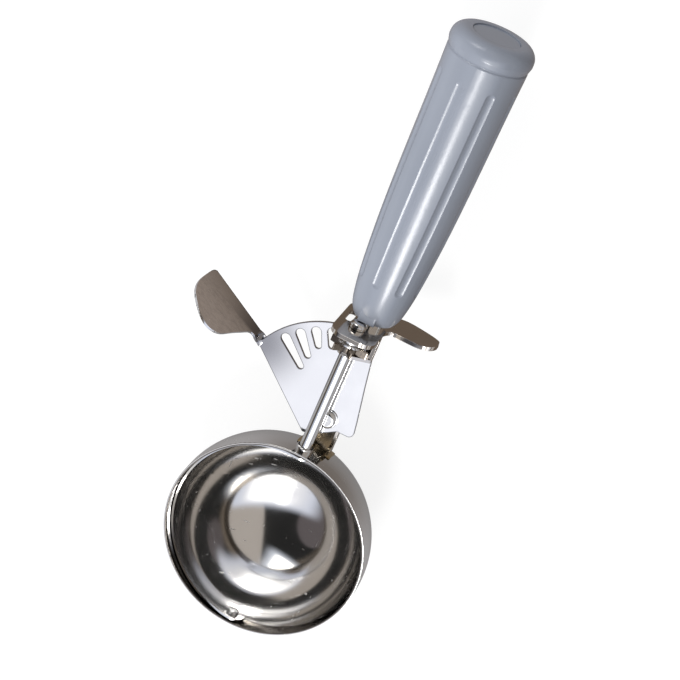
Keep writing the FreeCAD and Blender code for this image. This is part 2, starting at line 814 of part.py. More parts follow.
def rest_outline(root_y):
    # Rounded tongue seen along the tool's axis, hollowed where it leaves the plate
    x = bolster_x - 2
    side = bolster_right_y
    span = side - rest_reach_y
    knots = [(root_y, bolster_bottom_z + 1.2), (side + 1.6, bolster_bottom_z - 1.8)]
    knots += [(side - share * span, rest_low_z + rise) for share, rise in rest_low_spots]
    knots.append((rest_reach_y, rest_tip_z))
    knots += [(side - share * span, rest_high_z + rise) for share, rise in rest_high_spots]
    knots += [(side - 0.2, rest_high_z + 0.2), (side + 0.8, rest_high_z + 2.6)]
    curve = Part.BSplineCurve()
    curve.interpolate([Vector(x, y, z) for y, z in knots])
    first = Vector(x, knots[0][0], knots[0][1])
    last = Vector(x, knots[-1][0], knots[-1][1])
    corner = Vector(x, root_y, knots[-1][1])
    edges = [curve.toShape(), Part.makeLine(last, corner), Part.makeLine(corner, first)]
    return Part.Face(Part.Wire(edges)).extrude(axis_x * 22)


def weep_slot():
    # Drain slot beside the ferrule
    y = bolster_left_y - weep_slot_margin - weep_slot_width / 2
    low = handle_z + weep_slot_rise - weep_slot_length / 2
    high = handle_z + weep_slot_rise + weep_slot_length / 2
    half = weep_slot_width / 2
    x0 = bolster_x - 1
    x1 = bolster_end_x + 1
    middle = block(x0, x1, y - half, y + half, low + half, high - half)
    ends = [rod_x(half, x0, x1, y, low + half), rod_x(half, x0, x1, y, high - half)]
    return middle.fuse(ends).removeSplitter()


def make_bearing_ear():
    # Bent guard with the rod's second bearing, below the pinion
    low = rack_top_z + rack_clearance
    web_left = ear_right_y + ear_thick
    points = [
        Vector(ear_x, ear_right_y, low),
        Vector(ear_x, ear_left_y, low),
        Vector(ear_x, ear_left_y, ear_top_z),
        Vector(ear_x, -rod_radius, ear_top_z),
        Vector(ear_x, ear_right_y, ear_low_top_z),
    ]
    ear = plate_between(points, axis_x * ear_thick)
    ear = soften(ear, ear_round, lambda e: upright(e, axis_x) and e.BoundBox.ZMin > ear_top_z - 0.1)
    web = block(ear_x, bolster_x, ear_right_y, web_left, low, ear_low_top_z)
    guard = ear.fuse(web).removeSplitter()
    return guard.cut(rod_x(rod_bore, ear_x - 1, ear_x + ear_thick + 1))


def tang_rivet_places():
    first = tang_start_x + tang_rivet_margin
    return [first, first + tang_rivet_spread]


def tang_bar():
    # Flat bar on the channel's web that runs into the handle
    left = neck_y + tang_half
    right = neck_y - tang_half
    return block(tang_start_x, tang_end_x, right, left, tang_low_z, tang_high_z)


def make_tang():
    bar = tang_bar()
    for x in tang_rivet_places():
        bar = bar.cut(rod_z(tang_rivet_radius, tang_low_z - 1, tang_high_z + 1, x, neck_y))
    return bar


def make_tang_rivet(x):
    height = tang_rivet_head_height
    low = neck_bottom_z - height
    head = rod_z(tang_rivet_head_radius, low, neck_bottom_z, x, neck_y)
    head = soften(head, 0.7 * height, lambda e: e.BoundBox.ZMax < low + 0.1)
    shank = rod_z(tang_rivet_radius, low + height / 2, tang_high_z, x, neck_y)
    return head.fuse(shank).removeSplitter()


def make_ferrule():
    ring = rod_x(ferrule_radius, bolster_end_x, handle_start_x, neck_y, handle_z)
    return ring.cut(tang_bar())


def handle_profile():
    # Stations and radii of the grip, which swells a little between its named sizes
    low_middle = (handle_low_radius + handle_mid_radius) / 2
    high_middle = (handle_mid_radius + handle_high_radius) / 2
    return [
        (handle_start_x, handle_end_radius),
        (handle_start_x + handle_end_lead, handle_end_radius + handle_end_swell),
        (handle_low_x, handle_low_radius),
        ((handle_low_x + handle_mid_x) / 2, low_middle + handle_low_swell),
        (handle_mid_x, handle_mid_radius),
        ((handle_mid_x + handle_high_x) / 2, high_middle + handle_high_swell),
        (handle_high_x, handle_high_radius),
    ]


def grip_curve(centre):
    grip = Part.BSplineCurve()
    grip.interpolate([centre + Vector(x, 0, r) for x, r in handle_profile()])
    return grip


def grip_radius(x):
    # Radius of the grip at a station, read from its own curve
    line = Part.Line(Vector(x, 0, 0), Vector(x, 0, 1))
    return grip_curve(Vector(0, 0, 0)).intersect(line)[0].Z


def make_handle():
    centre = Vector(0, neck_y, handle_z)

    def at(x, r):
        return centre + Vector(x, 0, r)

    grip = grip_curve(centre)
    band_start = handle_high_x + 2 * groove_half
    band_end = handle_end_x - butt_round
    groove = at(handle_high_x + groove_half, handle_high_radius - groove_depth)
    part = butt_round * math.sqrt(0.5)
    round_mid = at(band_end + part, handle_band_radius - butt_round + part)
    round_end = at(handle_end_x, handle_band_radius - butt_round)
    band = at(handle_band_x, handle_band_radius)
    edges = [
        Part.makeLine(at(handle_start_x, 0), at(handle_start_x, handle_end_radius)),
        grip.toShape(),
        Part.makeLine(at(handle_high_x, handle_high_radius), groove),
        Part.makeLine(groove, at(band_start, handle_high_radius)),
        Part.makeLine(at(band_start, handle_high_radius), band),
        Part.makeLine(band, at(band_end, handle_band_radius)),
        Part.Arc(at(band_end, handle_band_radius), round_mid, round_end).toShape(),
        Part.makeLine(round_end, at(handle_end_x, 0)),
        Part.makeLine(at(handle_end_x, 0), at(handle_start_x, 0)),
    ]
    body = Part.Face(Part.Wire(edges)).revolve(centre, axis_x, 360)
    body = body.fuse(prong()).removeSplitter()
    for flute in flutes():
        body = body.cut(flute)
    body = body.cut(tang_bar())
    recess = rod_x(plug_radius, handle_end_x - plug_depth, handle_end_x + 1, neck_y, handle_z)
    return body.cut(recess)


def prong():
    # Flat rib on the handle's lower end, facing the end dome
    start = handle_start_x
    top = handle_z + handle_end_radius + prong_height
    low = handle_z + ferrule_radius + 0.4
    middle = neck_y + prong_offset
    bar = block(
        start, start + prong_length, middle - prong_width / 2, middle + prong_width / 2,
        low, top,
    )
    return soften(bar, 0.5, lambda e: upright(e, axis_x) and e.BoundBox.ZMin > top - 0.1)


def flutes():
    # Narrow grooves that follow the grip's taper, with round ends
    inset = flute_radius - flute_depth
    spots = []
    for share in (0.0, 0.33, 0.67, 1.0):
        x = flute_start_x + share * (flute_end_x - flute_start_x)
        spots.append(Vector(x, 0, grip_radius(x) + inset))
    path = Part.BSplineCurve()
    path.interpolate(spots)
    edge = path.toShape()
    way = edge.tangentAt(edge.FirstParameter)
    ring = Part.Wire(Part.Circle(spots[0], way, flute_radius).toShape())
    pipe = Part.Wire(edge).makePipeShell([ring], True, False)
    ends = [Part.makeSphere(flute_radius, spot) for spot in (spots[0], spots[-1])]
    groove = pipe.fuse(ends).removeSplitter()
    tools = []
    for k in range(flute_count):
        tool = groove.copy()
        turn = 360.0 / flute_count * (k + 0.5) + flute_phase_deg
        tool.rotate(Vector(0, 0, 0), axis_x, turn)
        tool.translate(Vector(0, neck_y, handle_z))
        tools.append(tool)
    return tools


def make_plug():
    # Disc that closes the handle's butt, set slightly in
    low = handle_end_x - plug_depth
    high = handle_end_x - plug_recess
    disc = rod_x(plug_radius, low, high, neck_y, handle_z)
    return soften(disc, 0.3, lambda e: e.BoundBox.XMin > high - 0.1)


def parts():
    rivets = tang_rivet_places()
    return {
        "bowl": make_bowl(),
        "bowl_bush": make_bowl_bush(),
        "tip_rivet": make_tip_rivet(),
        "scraper_blade": make_blade(),
        "blade_rivet": make_blade_rivet(),
        "scraper_rod": make_rod(),
        "pinion": make_pinion(),
        "pinion_pin": cross_pin(),
        "thrust_washer": make_thrust_washer(),
        "rod_collar": make_collar(),
        "end_dome": make_end_dome(),
        "lever_plate": make_lever(),
        "spring_peg": make_spring_peg(),
        "neck_channel": make_neck(),
        "braze_seam": make_braze(),
        "pivot_stud": make_pivot_stud(),
        "pivot_washer": make_pivot_washer(),
        "pivot_cap": make_pivot_cap(),
        "return_spring": make_spring(),
        "bolster_plate": make_bolster(),
        "bearing_ear": make_bearing_ear(),
        "tang": make_tang(),
        "tang_rivet_lower": make_tang_rivet(rivets[0]),
        "tang_rivet_upper": make_tang_rivet(rivets[1]),
        "ferrule": make_ferrule(),
        "handle": make_handle(),
        "handle_plug": make_plug(),
    }


def main():
    os.makedirs("parts", exist_ok=True)
    shapes = parts()
    boxes = [shape.optimalBoundingBox(False, False) for shape in shapes.values()]
    low = Vector(*[min(getattr(b, k) for b in boxes) for k in ("XMin", "YMin", "ZMin")])
    high = Vector(*[max(getattr(b, k) for b in boxes) for k in ("XMax", "YMax", "ZMax")])
    shift = Vector(-(low.x + high.x) / 2, -(low.y + high.y) / 2, -low.z)
    print("size", [round(v, 3) for v in (high - low)], "bowl centre at", [round(v, 4) for v in shift])
    for name, shape in shapes.items():
        solids = shape.Solids
        print(name, len(solids), shape.isValid(), round(shape.Volume, 2))
        whole = solids[0] if len(solids) == 1 else Part.Compound(solids)
        whole = whole.copy()
        whole.translate(shift)
        whole.exportStep("parts/" + name + ".step")


main()
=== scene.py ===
import json
import math

import bmesh
import bpy
from mathutils import Matrix, Vector


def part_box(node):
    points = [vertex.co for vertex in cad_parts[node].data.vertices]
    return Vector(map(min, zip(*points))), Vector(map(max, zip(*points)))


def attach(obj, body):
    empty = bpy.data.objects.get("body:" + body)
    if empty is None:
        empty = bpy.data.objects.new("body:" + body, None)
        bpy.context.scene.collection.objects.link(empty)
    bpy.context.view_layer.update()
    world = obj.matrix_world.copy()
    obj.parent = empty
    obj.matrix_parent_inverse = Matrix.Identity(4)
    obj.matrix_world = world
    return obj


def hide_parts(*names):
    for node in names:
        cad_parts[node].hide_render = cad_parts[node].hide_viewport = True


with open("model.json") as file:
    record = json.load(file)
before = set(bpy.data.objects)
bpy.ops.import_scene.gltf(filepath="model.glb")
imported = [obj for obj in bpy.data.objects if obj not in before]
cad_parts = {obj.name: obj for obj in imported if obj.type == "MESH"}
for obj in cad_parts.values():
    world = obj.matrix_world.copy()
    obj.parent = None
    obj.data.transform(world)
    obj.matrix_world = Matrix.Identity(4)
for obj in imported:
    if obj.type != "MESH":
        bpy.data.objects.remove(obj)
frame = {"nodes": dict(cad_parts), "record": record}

# A thumb-lever ice cream scoop on a white sweep. Metres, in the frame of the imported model.

MM = 0.001
PHOTO_PIXELS = 680

# The bowl's centre is the centre of its sphere, below the straight band under the rim
RIM_RISE = 5.0 * MM
bowl_low, bowl_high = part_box("bowl")
BOWL_CENTRE = Vector((
    (bowl_low.x + bowl_high.x) / 2,
    (bowl_low.y + bowl_high.y) / 2,
    bowl_high.z - RIM_RISE,
))

# The bowl's inner wall, with its faceting allowed for
INNER_RADIUS = (bowl_high.y - bowl_low.y) / 2 - 0.5 * MM

# Camera: where the photograph was taken from, seen from the bowl's centre
VIEW_TARGET = Vector((0.06454, 0.00756, -0.02949))
VIEW_DISTANCE = 0.85
VIEW_AZIMUTH_DEG = -15.46
VIEW_ELEVATION_DEG = 63.9
VIEW_ROLL_DEG = -139.332
FOCAL_PIXELS = 2474.0
SENSOR_WIDTH = 36.0

# Where the thumb pad leaves the rack plate, seen from the bowl's centre
PAD_ROOT = Vector((0.063, 0.0287, -0.0046))

# Studio: the floor as the camera sees it is its own white plus the paint that takes the shadow
FLOOR_HALF = 4.0
FLOOR_WHITE = 0.82
FLOOR_PAINT = 0.25

# Light from the world and the floor, from the shaded side to the lit side
AMBIENT_SHADE = (0.18, 0.18, 0.18, 1)
AMBIENT_LIGHT = (1.15, 1.15, 1.15, 1)
AMBIENT_SPREAD = 0.8
FLOOR_SHADE = (0.16, 0.16, 0.16, 1)
FLOOR_LIGHT = (0.85, 0.85, 0.85, 1)
FLOOR_SPREAD = 0.4

# Surroundings as the steel mirrors them, on the floor and on the sky map
BACKDROP = (0.70, 0.70, 0.71, 1)
HORIZON = (0.16, 0.15, 0.145, 1)

# Lamps: name, azimuth and elevation in degrees, width and height, watts, colour, mirrored
LAMP_DISTANCE = 1.1
LAMPS = (
    ("key_softbox", 206, 61, 0.20, 0.42, 5.0, (1.0, 0.99, 0.98), True),
    ("side_softbox", 32, 36, 0.30, 0.30, 1.0, (0.97, 0.98, 1.0), False),
)

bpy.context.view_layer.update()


# Camera

def view_axes():
    """Right, up and back axes of the camera."""
    azimuth = math.radians(VIEW_AZIMUTH_DEG)
    elevation = math.radians(VIEW_ELEVATION_DEG)
    roll = math.radians(VIEW_ROLL_DEG)
    back = Vector((
        math.cos(elevation) * math.cos(azimuth),
        math.cos(elevation) * math.sin(azimuth),
        math.sin(elevation),
    ))
    level_up = (Vector((0, 0, 1)) - back * back.z).normalized()
    level_right = level_up.cross(back)
    right = level_right * math.cos(roll) + level_up * math.sin(roll)
    return right, back.cross(right), back


def make_camera():
    right, up, back = view_axes()
    data = bpy.data.cameras.new("camera")
    data.sensor_width = SENSOR_WIDTH
    data.lens = FOCAL_PIXELS * SENSOR_WIDTH / PHOTO_PIXELS
    data.clip_start = 0.05
    data.clip_end = 20.0
    camera = bpy.data.objects.new("camera", data)
    turn = Matrix((right, up, back)).transposed().to_4x4()
    place = BOWL_CENTRE + VIEW_TARGET + back * VIEW_DISTANCE
    camera.matrix_world = Matrix.Translation(place) @ turn
    bpy.context.scene.collection.objects.link(camera)
    bpy.context.scene.camera = camera


# Node helpers

# Likeness of the rounded and the true normal, on an edge and clear of it
EDGE_LIKENESS = (0.86, 0.995)

# Steepness of the normal, off and on the faces that count as upright
UPRIGHT_LEVELS = (0.93, 0.95)


class Tree:
    """A node tree with short calls for the nodes used here."""

    def __init__(self, owner):
        owner.use_nodes = True
        self.nodes = owner.node_tree.nodes
        self.links = owner.node_tree.links
        self.nodes.clear()

    def add(self, kind, **settings):
        node = self.nodes.new(kind)
        for name, value in settings.items():
            setattr(node, name, value)
        return node

    def feed(self, socket, value):
        """Links a socket to another node's output, or sets its own value."""
        if isinstance(value, bpy.types.NodeSocket):
            self.links.new(value, socket)
        else:
            socket.default_value = value

    def math(self, operation, *values):
        node = self.add("ShaderNodeMath", operation=operation)
        for socket, value in zip(node.inputs, values):
            self.feed(socket, value)
        return node.outputs[0]

    def step(self, value, low, high, to_low=0.0, to_high=1.0, smooth=True):
        """Goes from to_low to to_high as value goes from low to high."""
        kind = "SMOOTHSTEP" if smooth else "LINEAR"
        node = self.add("ShaderNodeMapRange", interpolation_type=kind)
        for name, number in (
            ("Value", value), ("From Min", low), ("From Max", high),
            ("To Min", to_low), ("To Max", to_high),
        ):
            self.feed(node.inputs[name], number)
        return node.outputs["Result"]

    def mix(self, share, first, second):
        node = self.add("ShaderNodeMix", data_type="RGBA")
        self.feed(node.inputs[0], share)
        self.feed(node.inputs[6], first)
        self.feed(node.inputs[7], second)
        return node.outputs[2]

    def length(self, x, y):
        """Length of the vector x, y."""
        squares = self.math("ADD", self.math("MULTIPLY", x, x), self.math("MULTIPLY", y, y))
        return self.math("SQRT", squares)

    def noise(self, vector, scale, detail, roughness):
        node = self.add("ShaderNodeTexNoise")
        self.feed(node.inputs["Vector"], vector)
        node.inputs["Scale"].default_value = scale
        node.inputs["Detail"].default_value = detail
        node.inputs["Roughness"].default_value = roughness
        return node.outputs["Fac"]

    def stretched(self, scale, centre=(0, 0, 0)):
        """Object coordinates in metres, moved to a centre and scaled per axis."""
        place = self.add("ShaderNodeTexCoord").outputs["Object"]
        move = self.add("ShaderNodeVectorMath", operation="SUBTRACT")
        self.feed(move.inputs[0], place)
        move.inputs[1].default_value = centre
        grow = self.add("ShaderNodeVectorMath", operation="MULTIPLY")
        self.feed(grow.inputs[0], move.outputs[0])
        grow.inputs[1].default_value = scale
        return grow.outputs[0]

    def split(self, vector):
        node = self.add("ShaderNodeSeparateXYZ")
        self.feed(node.inputs[0], vector)
        return node.outputs[0], node.outputs[1], node.outputs[2]

    def join(self, x, y, z):
        node = self.add("ShaderNodeCombineXYZ")
        for socket, value in zip(node.inputs, (x, y, z)):
            self.feed(socket, value)
        return node.outputs[0]

    def upright(self):
        """1 on faces that look straight up or down, 0 on the others."""
        true_normal = self.add("ShaderNodeNewGeometry").outputs["True Normal"]
        steepness = self.math("ABSOLUTE", self.split(true_normal)[2])
        return self.step(steepness, *UPRIGHT_LEVELS)

    def rounded(self, radius):
        """Normals that turn smoothly over sharp edges within about the radius."""
        node = self.add("ShaderNodeBevel", samples=8)
        node.inputs["Radius"].default_value = radius
        return node.outputs["Normal"]

    def edge(self, radius):
        """1 along sharp edges, falling to 0 within about the radius."""
        likeness = self.add("ShaderNodeVectorMath", operation="DOT_PRODUCT")
        self.feed(likeness.inputs[0], self.rounded(radius))
        self.feed(likeness.inputs[1], self.add("ShaderNodeNewGeometry").outputs["True Normal"])
        return self.step(likeness.outputs["Value"], *EDGE_LIKENESS, 1.0, 0.0)

    def bump(self, height, strength, distance, normal=None):
        node = self.add("ShaderNodeBump")
        node.inputs["Strength"].default_value = strength
        node.inputs["Distance"].default_value = distance
        self.feed(node.inputs["Height"], height)
        if normal is not None:
            self.feed(node.inputs["Normal"], normal)
        return node.outputs["Normal"]


def grey(value):
    return (value, value, value, 1.0)


# Studio: what the polished steel mirrors

def half_plane(tree, x, y, towards_deg, edge, soft):
    """1 on the far side of a line across the sky map, 0 on the near side."""
    a = math.radians(towards_deg)
    along = tree.math(
        "ADD", tree.math("MULTIPLY", x, math.cos(a)), tree.math("MULTIPLY", y, math.sin(a))
    )
    return tree.step(along, edge - soft / 2, edge + soft / 2)


def patch(tree, x, y, sides):
    """Product of half planes: a soft-edged panel on the sky map."""
    share = None
    for side in sides:
        mask = half_plane(tree, x, y, *side)
        share = mask if share is None else tree.math("MULTIPLY", share, mask)
    return share


# The sky map has its zenith at 0, 0 and its horizon on the circle of radius 1. Each tone takes
# over from the one before it between two radii
SKY_DARK = (0.022, 0.022, 0.022, 1)
SKY_WALL = (0.17, 0.14, 0.112, 1)
SKY_WALL_RADII = (0.48, 0.62)
SKY_BACKDROP_RADII = (0.74, 0.84)
SKY_HORIZON_RADII = (0.92, 0.96)
SKY_DISC = (0.125, 0.110, 0.114, 1)
SKY_DISC_PLACE = (-0.06, 0.36, 0.19)
SKY_DISC_SOFT = 0.03

# Panels on the map: colour, then sides as (facing degrees, edge, softness)
SKY_PANELS = (
    (
        (0.46, 0.42, 0.385, 1),
        ((290, 0.185, 0.02), (0, -0.01, 0.06), (200, -0.78, 0.10), (110, -0.76, 0.10)),
    ),
    (
        (0.75, 0.80, 0.90, 1),
        ((0, 0.38, 0.10), (90, 0.05, 0.18), (180, -0.66, 0.12), (270, -0.52, 0.14)),
    ),
    (
        (4.0, 3.85, 3.6, 1),
        ((0, 0.42, 0.06), (90, 0.16, 0.10), (180, -0.60, 0.08), (270, -0.42, 0.10)),
    ),
    (
        (0.74, 0.78, 0.90, 1),
        ((195, 0.055, 0.10), (0, -0.80, 0.20), (90, -0.56, 0.06), (270, -0.30, 0.24)),
    ),
    (
        (0.97, 0.98, 1.04, 1),
        ((195, 0.10, 0.10), (0, -0.52, 0.20), (90, -0.46, 0.14), (270, -0.14, 0.20)),
    ),
    (
        (2.2, 2.2, 2.2, 1),
        ((195, 0.12, 0.10), (0, -0.48, 0.20), (90, -0.36, 0.20), (270, 0.01, 0.09)),
    ),
)


def make_world():
    world = bpy.data.worlds.new("studio")
    bpy.context.scene.world = world
    tree = Tree(world)
    x, y, z = tree.split(tree.add("ShaderNodeTexCoord").outputs["Generated"])
    above = tree.math("ADD", tree.math("ABSOLUTE", z), 1.0)
    map_x = tree.math("DIVIDE", x, above)
    map_y = tree.math("DIVIDE", y, above)
    radius = tree.length(map_x, map_y)
    colour = tree.mix(tree.step(radius, *SKY_WALL_RADII), SKY_DARK, SKY_WALL)
    disc_x, disc_y, disc_radius = SKY_DISC_PLACE
    off = tree.length(
        tree.math("SUBTRACT", map_x, disc_x), tree.math("SUBTRACT", map_y, disc_y)
    )
    colour = tree.mix(tree.step(off, disc_radius, disc_radius + SKY_DISC_SOFT), SKY_DISC, colour)
    colour = tree.mix(tree.step(radius, *SKY_BACKDROP_RADII), colour, BACKDROP)
    colour = tree.mix(tree.step(radius, *SKY_HORIZON_RADII), colour, HORIZON)
    for panel_colour, sides in SKY_PANELS:
        colour = tree.mix(patch(tree, map_x, map_y, sides), colour, panel_colour)
    path = tree.add("ShaderNodeLightPath")
    lit = tree.mix(tree.step(y, -AMBIENT_SPREAD, AMBIENT_SPREAD), AMBIENT_SHADE, AMBIENT_LIGHT)
    seen = tree.mix(path.outputs["Is Glossy Ray"], lit, colour)
    seen = tree.mix(path.outputs["Is Camera Ray"], seen, grey(1.0))
    back = tree.add("ShaderNodeBackground")
    tree.feed(back.inputs["Color"], seen)
    tree.feed(tree.add("ShaderNodeOutputWorld").inputs["Surface"], back.outputs[0])
    world.cycles.sampling_method = "NONE"


# The floor as the steel mirrors it. The tones follow each other along the tool, from the bowl's
# end to the grip's end, and others take over near the bowl's centre and far from the middle.
# The dark tone under the grip and the tone near the bowl's centre are painted shadow.
MIRROR_PALE = (0.50, 0.485, 0.495, 1)
# Painted shadow on the mirrored floor under the grip
MIRROR_GRIP_SHADOW = (0.14, 0.11, 0.088, 1)
MIRROR_WARM = (0.27, 0.22, 0.185, 1)
# Painted shadow on the mirrored floor round the bowl
MIRROR_BOWL_SHADOW = (0.16, 0.155, 0.15, 1)
MIRROR_SLANT = -0.35
PALE_TO_DARK = (-0.06, 0.0)
DARK_TO_WARM = (0.025, 0.055)
BOWL_SHADOW_REACH = (0.0, 0.085)
BACKDROP_REACH = (0.15, 0.40)
HORIZON_REACH = (0.55, 0.75)


def mirrored_floor(tree, x, y):
    """Tone of the floor at x, y in the steel's reflections, with painted shadow under the grip and
    near the bowl.
    """
    side = tree.math("ADD", x, tree.math("MULTIPLY", y, MIRROR_SLANT))
    tone = tree.mix(tree.step(side, *PALE_TO_DARK), MIRROR_PALE, MIRROR_GRIP_SHADOW)
    tone = tree.mix(tree.step(side, *DARK_TO_WARM), tone, MIRROR_WARM)
    from_bowl = tree.length(
        tree.math("SUBTRACT", x, BOWL_CENTRE.x), tree.math("SUBTRACT", y, BOWL_CENTRE.y)
    )
    tone = tree.mix(tree.step(from_bowl, *BOWL_SHADOW_REACH), MIRROR_BOWL_SHADOW, tone)
    reach = tree.length(x, y)
    tone = tree.mix(tree.step(reach, *BACKDROP_REACH), tone, BACKDROP)
    return tree.mix(tree.step(reach, *HORIZON_REACH), tone, HORIZON)


def make_floor():
    mesh = bpy.data.meshes.new("floor")
    corners = [(-1, -1), (1, -1), (1, 1), (-1, 1)]
    mesh.from_pydata([(x * FLOOR_HALF, y * FLOOR_HALF, 0) for x, y in corners], [], [(0, 1, 2, 3)])
    floor = bpy.data.objects.new("floor", mesh)
    bpy.context.scene.collection.objects.link(floor)
    material = bpy.data.materials.new("floor_white")
    mesh.materials.append(material)
    tree = Tree(material)
    x, y, _ = tree.split(tree.add("ShaderNodeTexCoord").outputs["Object"])
    white = tree.add("ShaderNodeEmission")
    white.inputs["Color"].default_value = grey(FLOOR_WHITE)
    lit = tree.add("ShaderNodeBsdfDiffuse")
    lit.inputs["Color"].default_value = grey(FLOOR_PAINT)
    shown = tree.add("ShaderNodeAddShader")
    tree.feed(shown.inputs[0], white.outputs[0])
    tree.feed(shown.inputs[1], lit.outputs[0])
    bounce = tree.add("ShaderNodeEmission")
    bounced = tree.mix(tree.step(y, -FLOOR_SPREAD, FLOOR_SPREAD), FLOOR_SHADE, FLOOR_LIGHT)
    tree.feed(bounce.inputs["Color"], bounced)
    mirrored = tree.add("ShaderNodeEmission")
    tree.feed(mirrored.inputs["Color"], mirrored_floor(tree, x, y))
    path = tree.add("ShaderNodeLightPath")
    unseen = tree.add("ShaderNodeMixShader")
    tree.feed(unseen.inputs[0], path.outputs["Is Glossy Ray"])
    tree.feed(unseen.inputs[1], bounce.outputs[0])
    tree.feed(unseen.inputs[2], mirrored.outputs[0])
    by_ray = tree.add("ShaderNodeMixShader")
    tree.feed(by_ray.inputs[0], path.outputs["Is Camera Ray"])
    tree.feed(by_ray.inputs[1], unseen.outputs[0])
    tree.feed(by_ray.inputs[2], shown.outputs[0])
    tree.feed(tree.add("ShaderNodeOutputMaterial").inputs["Surface"], by_ray.outputs[0])


def add_lamp(name, azimuth_deg, elevation_deg, width, height, power, colour, mirrored):
    azimuth = math.radians(azimuth_deg)
    elevation = math.radians(elevation_deg)
    away = Vector((
        math.cos(elevation) * math.cos(azimuth),
        math.cos(elevation) * math.sin(azimuth),
        math.sin(elevation),
    ))
    data = bpy.data.lights.new(name, "AREA")
    data.shape = "RECTANGLE"
    data.size = width
    data.size_y = height
    data.energy = power
    data.color = colour
    lamp = bpy.data.objects.new(name, data)
    lamp.rotation_mode = "QUATERNION"
    lamp.rotation_quaternion = away.to_track_quat("Z", "Y")
    lamp.location = BOWL_CENTRE + VIEW_TARGET + away * LAMP_DISTANCE
    bpy.context.scene.collection.objects.link(lamp)
    lamp.visible_camera = False
    lamp.visible_glossy = mirrored


# Materials

# Bowl
BOWL_DARK = (0.78, 0.765, 0.745, 1)
BOWL_LIGHT = (0.85, 0.84, 0.825, 1)
# Painted shade: the inner wall's band under the rim takes this dark tone
RIM_PAINTED_SHADE = (0.17, 0.155, 0.14, 1)
RIM_PAINTED_SHADE_HEIGHTS = (-1.2 * MM, 0.2 * MM)
WALL_FADE = 0.2 * MM
SCRATCH_ROUGHNESS = 0.30

# Lever plate and its thumb pad, with distances from the pad's root
# Painted shade: the plate darkens towards the pad's root and clears over this reach
PAD_ROOT_SHADE_REACH = (1.0 * MM, 21.0 * MM)
PAD_RISE = (0.6 * MM, 3.0 * MM)
# Painted shade: dark outlines along the plate's sharp edges, kept off the pad
PLATE_EDGE_SHADE = (0.09, 0.09, 0.10, 1)
PLATE_EDGE_REACH = 0.75 * MM
PLATE_EDGE_HEIGHTS = (0.4 * MM, 0.7 * MM)

# Bolster, neck and braze, with the neck's tint by distance along the tool from the bowl's centre
# Painted shade on the bolster's faces that look up or down, clear of their edges
TOP_PAINTED_SHADE = (0.15, 0.14, 0.13, 1)
TOP_SHADE_CLEAR_EDGE = 0.45 * MM
TOP_PAINTED_SHADE_SHARE = 0.85
STRAW_TONE = (0.42, 0.31, 0.15, 1)
STRAW_REACH = (39.0 * MM, 45.0 * MM)
STRAW_BLOTCH = 4.0 * MM
BRAZE_DARK = (0.42, 0.29, 0.13, 1)
BRAZE_LIGHT = (0.66, 0.52, 0.30, 1)

# Grip: the moulding's edges look this round
GRIP_EDGE = 0.5 * MM


def new_material(name):
    material = bpy.data.materials.new(name)
    tree = Tree(material)
    shader = tree.add("ShaderNodeBsdfPrincipled")
    tree.feed(tree.add("ShaderNodeOutputMaterial").inputs["Surface"], shader.outputs[0])
    return material, tree, shader


def polished_steel(
    name, dark, light, rough_low, rough_high, grain, centre=(0, 0, 0), bump=0.04, overlay=None
):
    """Steel with a fine grain stretched along the polishing direction and faint wipe marks."""
    material, tree, shader = new_material(name)
    shader.inputs["Metallic"].default_value = 1.0
    wipe = tree.noise(tree.stretched((1, 1, 1), centre), 55.0, 4.0, 0.6)
    lines = tree.noise(tree.stretched(grain, centre), 1.0, 2.0, 0.6)
    colour = tree.mix(wipe, dark, light)
    if overlay is not None:
        colour = overlay(tree, colour)
    tree.feed(shader.inputs["Base Color"], colour)
    blend = tree.math("MULTIPLY", wipe, lines)
    rough = tree.step(blend, 0.12, 0.42, rough_low, rough_high, False)
    tree.feed(shader.inputs["Roughness"], rough)
    tree.feed(shader.inputs["Normal"], tree.bump(lines, bump, 0.0002))
    return material


def bowl_steel(name):
    """Spun and polished bowl: fine rings round its axis smear the reflections along the wall.

    Fine scratches cross it, and inside it under the rim a band of painted shade darkens the steel.
    """
    material, tree, shader = new_material(name)
    shader.inputs["Metallic"].default_value = 1.0
    place = tree.stretched((1, 1, 1), BOWL_CENTRE)
    x, y, z = tree.split(place)
    round_radius = tree.length(x, y)
    polar = tree.math("ARCTAN2", round_radius, tree.math("MULTIPLY", z, -1.0))
    rings = tree.noise(tree.join(polar, 0.0, 0.0), 70.0, 4.0, 0.7)
    wipe = tree.noise(place, 60.0, 4.0, 0.6)
    steel = tree.mix(wipe, BOWL_DARK, BOWL_LIGHT)
    # Painted shade on the inner wall between the rim and the sphere
    inside = tree.step(round_radius, INNER_RADIUS, INNER_RADIUS + WALL_FADE, 1.0, 0.0)
    band = tree.math("MULTIPLY", inside, tree.step(z, *RIM_PAINTED_SHADE_HEIGHTS))
    tree.feed(shader.inputs["Base Color"], tree.mix(band, steel, RIM_PAINTED_SHADE))
    blend = tree.math("MULTIPLY", wipe, rings)
    rough = tree.step(blend, 0.12, 0.42, 0.07, 0.13, False)
    along = tree.noise(tree.stretched((900, 45, 500), BOWL_CENTRE), 1.0, 1.0, 0.5)
    across = tree.noise(tree.stretched((60, 1100, 500), BOWL_CENTRE), 1.0, 1.0, 0.5)
    scratch = tree.math("MAXIMUM", tree.step(along, 0.73, 0.78), tree.step(across, 0.74, 0.79))
    rough = tree.math("ADD", rough, tree.math("MULTIPLY", scratch, SCRATCH_ROUGHNESS))
    tree.feed(shader.inputs["Roughness"], rough)
    shader.inputs["Anisotropic"].default_value = 0.7
    tangent = tree.join(tree.math("MULTIPLY", y, -1.0), x, 0.0)
    level = tree.add("ShaderNodeVectorMath", operation="NORMALIZE")
    tree.feed(level.inputs[0], tangent)
    tree.feed(shader.inputs["Tangent"], level.outputs[0])
    tree.feed(shader.inputs["Normal"], tree.bump(rings, 0.02, 0.0001))
    return material


